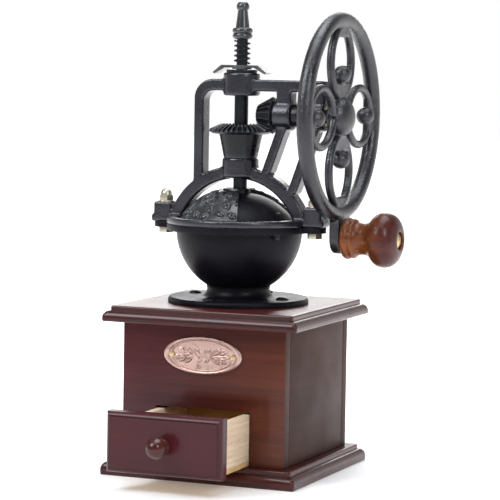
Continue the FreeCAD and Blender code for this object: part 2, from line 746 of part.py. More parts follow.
def cut_teeth(body, role, side, height_of, teeth, near, far):
    """Loft one gap towards the apex and repeat it round the body's own Z axis."""
    sketches = []
    for distance in (far, near):
        drawing = new_sketch(body, role, distance)
        add_outline(drawing, gap_outline(distance, height_of, side * GAP_ABOVE, -side * ROOT_FALL))
        sketches.append(drawing)
    gap = body.newObject("PartDesign::SubtractiveLoft", f"{body.Name}_gap")
    gap.Profile = sketches[0]
    gap.Sections = [sketches[1]]
    gap.Ruled = True
    doc.recompute()
    pattern = body.newObject("PartDesign::PolarPattern", f"{body.Name}_teeth")
    pattern.Originals = [gap]
    pattern.Axis = (origin_plane(body, "Z_Axis"), [""])
    pattern.Angle = 360
    pattern.setExpression("Occurrences", teeth.text)
    body.Tip = pattern
    doc.recompute()


def make_driven_gear():
    tip = PITCH_SLOPE - TIP_RISE
    apex = D.axis_z
    body = turned("driven_gear", [
        (D.shaft_radius, D.gear_hub_z), (D.gear_hub_low, D.gear_hub_z),
        (D.gear_hub_high, D.gear_cone_z), (17.0, D.gear_cone_z + 0.4), (19.4, apex - 10.3),
        (19.0, apex - tip * 19.0), (12.4, apex - tip * 12.4), (11.4, apex - 8.6),
        (D.shaft_radius, apex - 8.6)])
    cut_teeth(body, "YZ_Plane", -1, lambda slope, x: apex - slope * x, D.gear_teeth, 10.0, 21.5)
    drill(body, "YZ_Plane", 0, gear_pin_height(), D.gear_pin, -16, 32)
    pin = turned("gear_pin", [(0, -11.2), (D.gear_pin, -11.2), (D.gear_pin, 11.2), (0, 11.2)])
    place(pin, 0, 0, gear_pin_height(), **ALONG_X)


def make_pinion():
    tip = PITCH_SLOPE + TIP_RISE
    body = turned("pinion", [
        (D.wheel_shaft, 11.6), (5.2, 11.6), (tip * 12.0, 12.0), (tip * 20.8, 20.8),
        (10.2, 22.4), (D.wheel_shaft, 22.4)])
    cut_teeth(body, "XY_Plane", 1, lambda slope, x: slope * x, D.pinion_teeth, 9.0, 23.5)
    place(body, 0, 0, D.axis_z, **ALONG_X)


def make_adjuster():
    turned("thrust_washer", [
        (D.thread_radius, D.thread_z), (D.washer_radius, D.thread_z),
        (D.washer_radius, D.washer_top), (D.thread_radius, D.washer_top)])
    wing = new_body("adjusting_wing")
    half, flat, tip = D.wing_half, D.wing_flat, D.wing_tip
    outline = [(-half + 1.2, tip), (-flat + 2.4, D.wing_under), (flat - 2.4, D.wing_under),
               (half - 1.2, tip), (half, tip + 0.9), (flat, D.wing_top), (-flat, D.wing_top),
               (-half, tip + 0.9)]
    pad(wing, "XZ_Plane", outline, D.wing_deep, None, True)
    round_pad(wing, "XY_Plane", 0, 0, 6.0, D.washer_top + 0.3, D.wing_top - D.washer_top - 0.3)
    drill(wing, "XY_Plane", 0, 0, D.thread_radius + D.running, D.washer_top, 4)
    make_spring()
    bore = D.thread_radius + D.running
    turned("finial", [
        (bore, D.finial_z), (4.2, D.finial_z), (6.1, D.finial_z + 1.9, 5.5, D.finial_z + 3.6),
        (6.3, D.finial_z + 5.4, 4.9, D.finial_z + 7.2), (4.3, D.finial_z + 7.4),
        (3.0, D.finial_z + 17.4), (3.95, D.finial_z + 20.1, 2.6, D.finial_z + 22.5),
        cap(2.6, D.finial_z + 22.5, D.finial_top),
        (0, D.shaft_top + 0.3), (bore, D.shaft_top + 0.3)])


def make_spring():
    body = new_body("adjusting_spring")
    section = new_sketch(body, "XZ_Plane")
    half = D.spring_wire / 2
    add_circle(section, D.spring_radius, D.spring_low + half, half)
    coil = body.newObject("PartDesign::AdditiveHelix", "spring_coil")
    coil.Profile = section
    coil.ReferenceAxis = (section, ["V_Axis"])
    coil.Mode = 0
    coil.Pitch = D.spring_pitch.value
    coil.Height = (D.spring_high - D.spring_low - D.spring_wire).value
    coil.setExpression("Pitch", D.spring_pitch.text)
    coil.setExpression("Height", (D.spring_high - D.spring_low - D.spring_wire).text)
    doc.recompute()


# ---------------------------------------------------------------- wheel and grip


def wheel_frame():
    centre = FreeCAD.Vector(D.wheel_x.value, 0, D.axis_z.value)
    return FreeCAD.Placement(centre, FreeCAD.Rotation(FreeCAD.Vector(0, 1, 0), 90))


def turn_about_z(angle):
    return FreeCAD.Placement(FreeCAD.Vector(), FreeCAD.Rotation(FreeCAD.Vector(0, 0, 1), angle))


def shift_by(x, y, z=0):
    return FreeCAD.Placement(FreeCAD.Vector(number_of(x), number_of(y), number_of(z)),
                             FreeCAD.Rotation())


def primitive(kind, name, placement, **sizes):
    """A Part primitive whose properties are bound to sizes."""
    item = doc.addObject(f"Part::{kind}", name)
    for key, value in sizes.items():
        setattr(item, key, value.value if isinstance(value, Size) else value)
        if isinstance(value, Size):
            item.setExpression(key, value.text)
    item.Placement = placement
    return item


LOOP_MIDDLE = 32.4      # radius on the wheel where a loop is widest
LOOP_BEND = 22.0        # radius of each of a loop's two bent strands
LOOP_START = 14.5
LOOP_SWEEP = 150.0


def loop_strands(turn):
    """The two bent strands of one loop; turn places the loop round the wheel."""
    strands = []
    sideways = LOOP_BEND - D.loop_wide.value
    for side in (-1, 1):
        start = LOOP_START if side > 0 else -LOOP_START - LOOP_SWEEP
        placement = wheel_frame() * turn * shift_by(LOOP_MIDDLE, -side * sideways) * turn_about_z(start)
        strand = primitive("Torus", "loop_strand", placement, Radius1=LOOP_BEND,
                           Radius2=D.loop_tube, Angle3=LOOP_SWEEP)
        strands.append(strand)
    return strands


def loop_web(turn, foot, end, foot_half, end_half, thick):
    """The solid fork where a loop's strands meet, as a wedge that widens with the radius."""
    stand = FreeCAD.Placement(FreeCAD.Vector(), FreeCAD.Rotation(FreeCAD.Vector(0, 0, 1), -90))
    return primitive("Wedge", "loop_web", wheel_frame() * turn * stand,
                     Ymin=foot, Ymax=end, Xmin=-foot_half, Xmax=foot_half, X2min=-end_half,
                     X2max=end_half, Zmin=-thick / 2, Zmax=thick / 2, Z2min=-thick / 2, Z2max=thick / 2)


def make_flywheel():
    frame = wheel_frame()
    pieces = [primitive("Torus", "wheel_rim", frame, Radius1=D.rim_centre, Radius2=D.rim_tube)]
    for quarter in range(4):
        turn = turn_about_z(90 * quarter)
        pieces += loop_strands(turn)
        upright = quarter % 2 == 0
        radius = D.ball_near if upright else D.ball_far
        pieces.append(primitive("Sphere", "wheel_ball", frame * turn * shift_by(radius, 0, 1.0),
                                Radius=D.ball_radius))
        if upright:
            pieces.append(loop_web(turn, 9.0, 20.5, 4.6, 12.6, 3.4))
            pieces.append(loop_web(turn, 48.0, 55.5, 10.4, 6.0, 3.4))
        else:
            pieces.append(loop_web(turn, 46.0, 55.5, 12.0, 6.0, 3.4))
    pieces.append(primitive("Cylinder", "wheel_hub", frame * shift_by(0, 0, -4.5),
                            Radius=D.hub_radius - 0.3, Height=6.5))
    pieces.append(primitive("Ellipsoid", "hub_dome", frame * shift_by(0, 0, 1.0),
                            Radius1=7.5, Radius2=D.hub_radius, Radius3=D.hub_radius, Angle1=-90))
    inset = (D.lug_x - D.wheel_x).value
    half = D.crank_half.value
    pieces.append(primitive("Box", "crank_arm", frame * shift_by(D.rim_centre, -half, inset),
                            Length=D.crank_radius - D.rim_centre, Width=D.crank_half * 2,
                            Height=D.crank_thick))
    pieces.append(primitive("Cylinder", "crank_end", frame * shift_by(D.crank_radius, 0, inset),
                            Radius=D.crank_half, Height=D.crank_thick))
    solid = doc.addObject("Part::MultiFuse", "wheel_casting")
    solid.Shapes = pieces
    shaft_hole = primitive("Cylinder", "shaft_hole", frame * shift_by(0, 0, -20),
                           Radius=D.wheel_shaft, Height=20 + 4)
    crank_hole = primitive("Cylinder", "crank_hole", frame * shift_by(D.crank_radius, 0, -10),
                           Radius=D.spindle_radius, Height=20)
    screw_turn = FreeCAD.Placement(FreeCAD.Vector(0, 0, -2.2),
                                   FreeCAD.Rotation(FreeCAD.Vector(1, 0, 0), 90))
    screw_hole = primitive("Cylinder", "screw_hole", frame * screw_turn, Radius=1.6, Height=14)
    tools = doc.addObject("Part::MultiFuse", "wheel_holes")
    tools.Shapes = [shaft_hole, crank_hole, screw_hole]
    wheel = doc.addObject("Part::Cut", "flywheel")
    wheel.Base = solid
    wheel.Tool = tools
    wheel.Label = "flywheel"
    sub_parts.append(wheel)
    screw = turned("wheel_set_screw", [
        (0, D.wheel_shaft), (1.6, D.wheel_shaft), (1.6, D.hub_radius - 1), (0, D.hub_radius - 1)])
    place(screw, D.wheel_x - 2.2, 0, D.axis_z, **ALONG_MINUS_Y)


def make_wheel_shaft():
    shaft = turned("wheel_shaft", [
        (0, 11.6), (D.wheel_shaft, 11.6), (D.wheel_shaft, D.wheel_x + 4), (0, D.wheel_x + 4)])
    place(shaft, 0, 0, D.axis_z, **ALONG_X)
    start = D.side_boss_x + D.side_boss_long + 0.3
    collar = turned("shaft_collar", [
        (D.wheel_shaft, start), (7.0, start), (7.0, start + 5), (D.wheel_shaft, start + 5)])
    place(collar, 0, 0, D.axis_z, **ALONG_X)


def make_grip():
    crank_z = D.axis_z - D.crank_radius
    lug_face = D.lug_x + D.crank_thick
    washer = turned("handle_washer", [
        (D.spindle_radius, lug_face), (6.4, lug_face), (6.4, lug_face + 0.8),
        (D.spindle_radius, lug_face + 0.8)])
    place(washer, 0, 0, crank_z, **ALONG_X)
    bore = D.spindle_radius + D.running
    long = D.grip_long
    recess = long - 2.6
    grip = turned("handle_knob", [
        (bore, 0), (10.6, 0), (D.grip_bead, 2.3, 10.9, 4.6), (11.8, 6.1, 10.6, 7.6),
        (D.grip_waist, 12.0, 11.6, 17.4), (D.grip_end, long - 9.6, 10.6, long - 1.2),
        (8.2, long - 0.3, 5.4, long), (5.4, recess), (bore, recess)])
    place(grip, D.grip_start, 0, crank_z, **ALONG_X)
    head = D.grip_start + recess + 0.3
    spindle = turned("handle_spindle", [
        (0, D.lug_x), (D.spindle_radius, D.lug_x), (D.spindle_radius, head), (D.spindle_head, head),
        (D.spindle_head, head + 0.8), cap(D.spindle_head, head + 0.8, head + 2.0)])
    pocket(spindle, "XY_Plane", rectangle(-D.spindle_head, -0.5, D.spindle_head, 0.5), 1.3, head + 2)
    place(spindle, 0, 0, crank_z, **ALONG_X)


# ---------------------------------------------------------------- fasteners


def make_head_fasteners():
    low = D.rim_z + 0.4
    head_high = 3.4
    shank = primitive("Cylinder", "bolt_shank", shift_by(0, 0, low), Radius=D.bolt_radius,
                      Height=D.lug_top + 5.2 - low)
    head = primitive("Prism", "bolt_head", shift_by(0, 0, low - head_high), Polygon=6,
                     Circumradius=4.7, Height=head_high)
    bolt = doc.addObject("Part::Fuse", "clamp_bolt")
    bolt.Base = shank
    bolt.Tool = head
    sides = [(-D.ear_x, 0, 0), (D.ear_x, 0, 0)]
    copies("clamp_bolts", bolt, sides)
    disc = primitive("Cylinder", "washer_disc", shift_by(0, 0, D.lug_top), Radius=5.6, Height=0.8)
    hole = primitive("Cylinder", "washer_hole", shift_by(0, 0, D.lug_top - 1),
                     Radius=D.bolt_hole, Height=3)
    washer = doc.addObject("Part::Cut", "bolt_washer")
    washer.Base = disc
    washer.Tool = hole
    copies("bolt_washers", washer, sides)
    copies("acorn_nuts", make_acorn_nut(D.lug_top + 0.8), sides)


def make_acorn_nut(low):
    hex_high = 3.4
    hexagon = primitive("Prism", "nut_hexagon", shift_by(0, 0, low), Polygon=6,
                        Circumradius=4.6, Height=hex_high)
    dome = primitive("Ellipsoid", "nut_dome", shift_by(0, 0, low + hex_high), Radius1=4.2,
                     Radius2=3.6, Radius3=3.6, Angle1=0)
    solid = doc.addObject("Part::Fuse", "nut_solid")
    solid.Base = hexagon
    solid.Tool = dome
    hole = primitive("Cylinder", "nut_hole", shift_by(0, 0, low - 1), Radius=D.bolt_radius, Height=5.6)
    nut = doc.addObject("Part::Cut", "acorn_nut")
    nut.Base = solid
    nut.Tool = hole
    return nut


def make_wood_screws():
    top = D.lid_top + D.foot_thick
    shank = primitive("Cylinder", "flange_shank", shift_by(0, 0, D.lid_under + 1), Radius=D.screw_core,
                      Height=top - D.lid_under - 1)
    head = primitive("Ellipsoid", "flange_head", shift_by(0, 0, top), Radius1=1.9,
                     Radius2=D.screw_head, Radius3=D.screw_head, Angle1=0)
    screw = doc.addObject("Part::Fuse", "flange_screw")
    screw.Base = shank
    screw.Tool = head
    copies("flange_screws", screw, foot_screw_places())
    inset = D.case_half - D.wall / 2
    copies("board_screws", make_board_screw(), corners(inset, inset - 12))


def make_all():
    make_boards()
    make_panels()
    make_runners()
    make_drawer()
    make_label()
    make_bowl()
    make_burrs()
    make_cover()
    make_yoke()
    make_bushes()
    make_drive_shaft()
    make_driven_gear()
    make_adjuster()
    make_wheel_shaft()
    make_pinion()
    make_flywheel()
    make_grip()
    make_head_fasteners()
    make_wood_screws()

# ---------------------------------------------------------------- making and writing


def check_and_write():
    doc.recompute()
    failed = [item.Name for item in doc.Objects if {"Invalid", "Error"} & set(item.State)]
    failed += [item.Label for item in sub_parts if item.Shape.isNull() or not item.Shape.isValid()]
    if failed:
        raise RuntimeError(f"failed objects: {failed}")
    os.makedirs(OUT, exist_ok=True)
    for item in sub_parts:
        item.Shape.exportStep(f"{OUT}/{item.Label}.step")
        print(f"{item.Label}: {len(item.Shape.Solids)} solid(s), {item.Shape.Volume:.1f} mm3")


make_all()
check_and_write()
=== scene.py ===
"""Looks of a hand-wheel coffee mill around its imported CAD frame. Metres, +Z up."""
import bpy
import math
import numpy as np
from mathutils import Matrix, Vector


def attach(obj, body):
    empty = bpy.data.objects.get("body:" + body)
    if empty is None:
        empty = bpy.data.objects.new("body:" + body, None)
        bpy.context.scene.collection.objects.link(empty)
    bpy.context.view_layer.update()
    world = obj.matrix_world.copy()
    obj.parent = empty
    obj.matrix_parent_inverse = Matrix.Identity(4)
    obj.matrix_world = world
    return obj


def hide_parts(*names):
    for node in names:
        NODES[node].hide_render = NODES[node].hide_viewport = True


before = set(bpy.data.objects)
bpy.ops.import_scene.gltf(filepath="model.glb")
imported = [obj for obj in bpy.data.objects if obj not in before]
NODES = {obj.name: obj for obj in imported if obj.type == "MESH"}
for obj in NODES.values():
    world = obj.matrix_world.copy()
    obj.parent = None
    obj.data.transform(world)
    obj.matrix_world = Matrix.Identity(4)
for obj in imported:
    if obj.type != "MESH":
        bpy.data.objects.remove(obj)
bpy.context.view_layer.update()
MM = 0.001
# the ends of a Map Range node, in the order low, high, value at low, value at high
RANGE_ENDS = ("From Min", "From Max", "To Min", "To Max")

# ---------------------------------------------------------------- camera, light, floor

AZIMUTH = math.radians(22.45)
ELEVATION = math.radians(4.69)
ROLL = math.radians(0.95)
DISTANCE = 1.449
FOCAL = 170.6
AIM_HEIGHT = 0.140
AIM_RIGHT = 0.0066
AIM_UP = -0.0058


def make_camera():
    back = Vector((math.sin(AZIMUTH) * math.cos(ELEVATION),
                   -math.cos(AZIMUTH) * math.cos(ELEVATION), math.sin(ELEVATION)))
    level = Vector((math.cos(AZIMUTH), math.sin(AZIMUTH), 0))
    upright = back.cross(level)
    right = math.cos(ROLL) * level + math.sin(ROLL) * upright
    up = math.cos(ROLL) * upright - math.sin(ROLL) * level
    place = Vector((0, 0, AIM_HEIGHT)) + right * AIM_RIGHT + up * AIM_UP + back * DISTANCE
    data = bpy.data.cameras.new("camera")
    data.lens = FOCAL
    data.sensor_width = 36
    data.clip_start = 0.05
    camera = bpy.data.objects.new("camera", data)
    camera.matrix_world = Matrix((
        (right.x, up.x, back.x, place.x), (right.y, up.y, back.y, place.y),
        (right.z, up.z, back.z, place.z), (0, 0, 0, 1)))
    bpy.context.scene.collection.objects.link(camera)
    bpy.context.scene.camera = camera


COOL = (0.92, 0.95, 1.0)
WHITE = (1, 1, 1)
LIGHT_AIM = (0, 0, 0.15)
# place, size, power and colour of each soft box
LIGHTS = {
    "key_left": ((-0.52, -0.78, 0.92), (0.60, 0.55), 9, COOL),
    "fill_right": ((0.75, -0.60, 0.70), (0.30, 0.50), 4, COOL),
    "top_soft": ((0.05, 0.15, 1.05), (0.7, 0.7), 7, COOL),
    "rim_back": ((-0.35, 0.95, 0.55), (0.7, 0.5), 4, WHITE),
    "edge_strip": ((-0.10, -0.60, 1.30), (1.2, 0.16), 3, WHITE),
}


def area_light(name, place, size, power, colour):
    data = bpy.data.lights.new(name, "AREA")
    data.shape = "RECTANGLE"
    data.size, data.size_y = size
    data.energy = power
    data.color = colour
    light = bpy.data.objects.new(name, data)
    light.location = place
    light.rotation_euler = (Vector(LIGHT_AIM) - light.location).to_track_quat("-Z", "Y").to_euler()
    bpy.context.scene.collection.objects.link(light)


# axis of the view direction, its two ends, and the sky's brightness at each end
SKY_FADES = (("Z", 0.04, 0.45, 1.0, 0.30), ("Y", -0.7, 0.5, 0.45, 1.0))


def make_sky():
    """A white horizon behind the mill, dimmer in front of it and overhead."""
    world = bpy.data.worlds.new("studio")
    world.use_nodes = True
    tree = world.node_tree
    view = tree.nodes.new("ShaderNodeTexCoord")
    split = tree.nodes.new("ShaderNodeSeparateXYZ")
    tree.links.new(view.outputs["Generated"], split.inputs[0])
    shares = []
    for axis, *ends in SKY_FADES:
        share = tree.nodes.new("ShaderNodeMapRange")
        share.interpolation_type = "SMOOTHSTEP"
        for key, value in zip(RANGE_ENDS, ends):
            share.inputs[key].default_value = value
        tree.links.new(split.outputs[axis], share.inputs["Value"])
        shares.append(share.outputs["Result"])
    product = tree.nodes.new("ShaderNodeMath")
    product.operation = "MULTIPLY"
    tree.links.new(shares[0], product.inputs[0])
    tree.links.new(shares[1], product.inputs[1])
    tree.links.new(product.outputs[0], tree.nodes["Background"].inputs["Strength"])
    tree.nodes["Background"].inputs["Color"].default_value = (1, 1, 1, 1)
    bpy.context.scene.world = world


def make_studio():
    """The sky, its plain colour handling and the soft boxes."""
    make_sky()
    bpy.context.scene.view_settings.view_transform = "Standard"
    for name, (place, size, power, colour) in LIGHTS.items():
        area_light(name, place, size, power, colour)


FLOOR_RADIUS = 6.0


def make_floor():
    bpy.ops.mesh.primitive_circle_add(vertices=96, radius=FLOOR_RADIUS, fill_type="NGON")
    floor = bpy.context.object
    floor.name = "floor"
    floor.data.materials.append(plain_floor())


# ---------------------------------------------------------------- shader helpers


# sockets of a Mix node in its colour mode
MIX_FACTOR, MIX_FIRST, MIX_SECOND, MIX_RESULT = 0, 6, 7, 2


class Shader:
    """A material under construction: nodes by short calls, links by socket."""

    def __init__(self, name):
        self.material = bpy.data.materials.new(name)
        self.material.use_nodes = True
        self.tree = self.material.node_tree
        self.surface = self.tree.nodes["Principled BSDF"]

    def node(self, kind, **inputs):
        item = self.tree.nodes.new(kind)
        for key, value in inputs.items():
            self.feed(item, key.replace("_", " "), value)
        return item

    def feed(self, item, key, value):
        if isinstance(value, bpy.types.NodeSocket):
            self.tree.links.new(value, item.inputs[key])
        else:
            item.inputs[key].default_value = value

    def position(self, scale=(1, 1, 1), rotation=(0, 0, 0)):
        """Object coordinates in metres, stretched and turned."""
        coordinates = self.node("ShaderNodeTexCoord")
        mapping = self.node("ShaderNodeMapping", Scale=scale, Rotation=rotation)
        self.feed(mapping, "Vector", coordinates.outputs["Object"])
        return mapping.outputs["Vector"]

    def noise(self, vector, scale, detail=4.0, roughness=0.5, distortion=0.0):
        item = self.node("ShaderNodeTexNoise", Vector=vector, Scale=scale, Detail=detail,
                         Roughness=roughness, Distortion=distortion)
        return item.outputs["Fac"]

    def grain(self, along, across, lengthwise, *look):
        """Noise drawn out along one axis, by its waves per metre across it and lengthwise."""
        scale = [across, across, across]
        scale["XYZ".index(along)] = lengthwise
        return self.noise(self.position(scale), 1.0, *look)

    def ramp(self, factor, *stops):
        item = self.node("ShaderNodeValToRGB", Fac=factor)
        elements = item.color_ramp.elements
        for index, (place, colour) in enumerate(stops):
            spot = elements[index] if index < 2 else elements.new(place)
            spot.position = place
            spot.color = (*colour, 1)
        return item.outputs["Color"]

    def level(self, factor, low, high, to_low=0.0, to_high=1.0):
        item = self.node("ShaderNodeMapRange")
        self.feed(item, "Value", factor)
        for key, value in zip(RANGE_ENDS, (low, high, to_low, to_high)):
            item.inputs[key].default_value = value
        return item.outputs["Result"]

    def maths(self, operation, first, second=0.0):
        item = self.node("ShaderNodeMath")
        item.operation = operation
        self.feed(item, 0, first)
        self.feed(item, 1, second)
        return item.outputs["Value"]

    def total(self, first, first_share, second, second_share):
        """Sum of two values, each taken by its share."""
        return self.maths("ADD", self.maths("MULTIPLY", first, first_share),
                          self.maths("MULTIPLY", second, second_share))

    def mix(self, factor, first, second, blend="MIX"):
        item = self.node("ShaderNodeMix")
        item.data_type = "RGBA"
        item.blend_type = blend
        self.feed(item, MIX_FACTOR, factor)
        for key, colour in ((MIX_FIRST, first), (MIX_SECOND, second)):
            plain = not isinstance(colour, bpy.types.NodeSocket)
            self.feed(item, key, (*colour, 1) if plain else colour)
        return item.outputs[MIX_RESULT]

    def bump(self, height, strength, distance):
        item = self.node("ShaderNodeBump", Height=height, Strength=strength, Distance=distance)
        return item.outputs["Normal"]

    def edge_wear(self):
        """High on convex edges, low in hollows."""
        return self.node("ShaderNodeNewGeometry").outputs["Pointiness"]

    def finish(self, **inputs):
        for key, value in inputs.items():
            self.feed(self.surface, key.replace("_", " "), value)
        return self.material


def plain_floor():
    """White sweep that glows as if lit from below: painted light, weaker near the object and in
    front, stronger further out.
    """
    shader = Shader("floor_white")
    distance = shader.node("ShaderNodeVectorMath", Vector=shader.position())
    distance.operation = "LENGTH"
    ahead = shader.node("ShaderNodeSeparateXYZ", Vector=shader.position())
    behind = shader.level(ahead.outputs["Y"], -0.45, 0.10, 0.35, 1.0)
    # painted light: the floor's emission, weaker near the mill and in front, lifts its shadows and
    # whitens the floor further out
    painted_glow = shader.maths("MULTIPLY", shader.level(distance.outputs["Value"], -0.05, 0.60), behind)
    return shader.finish(Base_Color=(0.90, 0.90, 0.90, 1), Roughness=0.6, Specular_IOR_Level=0.1,
                         Emission_Color=(1, 1, 1, 1), Emission_Strength=painted_glow)


# ---------------------------------------------------------------- materials


# how much brighter than its light tone stained wood is where an edge is worn
WORN_WOOD = (2.4, 3.2, 3.0)
# colour of the short dark flecks in beech
FLECK = (0.36, 0.18, 0.07)


def lacquered_wood(name, along, dark, light, gloss, coat, scale=1.0, shift=None):
    """Stained and lacquered wood: fine grain streaks along one axis under a clear coat.

    A shift paints light or shade: a colour to multiply by and the two places on the X axis between
    which the wood takes it on.
    """
    shader = Shader(name)
    streaks = shader.grain(along, 260 * scale, 9 * scale, 6, 0.62, 0.35)
    clouds = shader.grain(along, 26 * scale, 2.5 * scale, 3, 0.5, 0.8)
    pores = shader.grain(along, 900 * scale, 45 * scale, 2, 0.5)
    tone = shader.total(streaks, 0.55, clouds, 0.45)
    middle = [0.5 * (a + b) for a, b in zip(dark, light)]
    colour = shader.ramp(tone, (0.30, dark), (0.72, light), (0.52, middle))
    speck = shader.level(pores, 0.30, 0.42, 0.72, 1.0)
    speck_grey = shader.ramp(speck, (0.0, (0, 0, 0)), (1.0, (1, 1, 1)))
    colour = shader.mix(1.0, colour, speck_grey, "MULTIPLY")
    # painted light and shade: a colour taken on along the X axis where the light falls, lighter on
    # one side or darker at one end
    if shift is not None:
        painted_tint, start, finish = shift
        place = shader.node("ShaderNodeSeparateXYZ", Vector=shader.position())
        wander = shader.maths("MULTIPLY", shader.level(clouds, 0.3, 0.7), (finish - start) * 0.3)
        share = shader.level(shader.maths("ADD", place.outputs["X"], wander), start, finish)
        colour = shader.mix(share, colour, shader.mix(1.0, colour, painted_tint, "MULTIPLY"))
    worn = shader.level(shader.edge_wear(), 0.51, 0.58)
    colour = shader.mix(shader.maths("MULTIPLY", worn, 0.35), colour,
                        [part * gain for part, gain in zip(light, WORN_WOOD)])
    height = shader.total(streaks, 0.6, pores, 0.4)
    patches = shader.noise(shader.position((40, 40, 40)), 1.0, 2)
    return shader.finish(
        Base_Color=colour, Roughness=shader.level(patches, 0.3, 0.7, gloss + 0.14, gloss + 0.24),
        Normal=shader.bump(height, 0.02, 0.0003), Coat_Weight=coat, Coat_Roughness=gloss,
        Coat_IOR=1.45, Specular_IOR_Level=0.16)


def pale_beech(name, along, dark, light):
    """Bare beech: pale, short fine flecks along the grain."""
    shader = Shader(name)
    streaks = shader.grain(along, 420, 16, 5, 0.6, 0.2)
    clouds = shader.grain(along, 35, 5, 2)
    flecks = shader.level(shader.grain(along, 1500, 130, 1), 0.62, 0.70)
    colour = shader.ramp(shader.total(streaks, 0.6, clouds, 0.4), (0.33, dark), (0.62, light))
    colour = shader.mix(shader.maths("MULTIPLY", flecks, 0.35), colour, FLECK)
    return shader.finish(Base_Color=colour, Roughness=shader.level(streaks, 0.3, 0.7, 0.50, 0.66),
                         Normal=shader.bump(streaks, 0.25, 0.0003), Specular_IOR_Level=0.35)


def cast_iron(name, base, rough, grain, shine, rubbed_and_highlit, bare_and_highlight=(0.095, 0.100, 0.115)):
    """Black-painted cast iron: fine orange-peel grain, softer in hollows, edges lighter with worn
    paint and painted highlight.
    """
    shader = Shader(name)
    place = shader.position()
    peel = shader.noise(place, 900, 3, 0.55)
    lumps = shader.noise(place, 160, 3, 0.5)
    patches = shader.noise(place, 38, 3, 0.55)
    lighter = [v * 1.8 + 0.002 for v in base]
    colour = shader.ramp(patches, (0.35, base), (0.72, lighter))
    # lighter edges: partly worn paint, partly a painted highlight along convex edges and the relief
    worn = shader.level(shader.edge_wear(), 0.53, 0.64)
    colour = shader.mix(shader.maths("MULTIPLY", worn, rubbed_and_highlit), colour, bare_and_highlight)
    height = shader.total(peel, 0.5, lumps, 0.9)
    return shader.finish(
        Base_Color=colour, Metallic=0.0,
        Roughness=shader.level(patches, 0.3, 0.7, rough - 0.06, rough + 0.10),
        Normal=shader.bump(height, 0.30 * grain, 0.0005), Specular_IOR_Level=shine)


def metal(name, base, rough, turned_along=None, stain=(0.05, 0.04, 0.03), stained=0.35):
    """Bare or plated metal with fine tool marks and darker stain in its hollows."""
    shader = Shader(name)
    place = shader.position()
    marks = shader.noise(place, 1400, 2, 0.5)
    if turned_along is not None:
        marks = shader.grain(turned_along, 60, 4200, 2, 0.5)
    patches = shader.noise(place, 220, 4, 0.6)
    hollow = shader.level(shader.edge_wear(), 0.42, 0.50, 1.0, 0.0)
    dirt = shader.maths("MULTIPLY", shader.maths("ADD", hollow, shader.level(patches, 0.55, 0.75)),
                        stained)
    colour = shader.mix(dirt, base, stain)
    return shader.finish(
        Base_Color=colour, Metallic=1.0,
        Roughness=shader.level(patches, 0.3, 0.7, rough - 0.05, rough + 0.12),
        Normal=shader.bump(marks, 0.15, 0.0002))


DARK_WOOD = (0.016, 0.0030, 0.0034)
LIGHT_WOOD = (0.088, 0.0110, 0.0088)
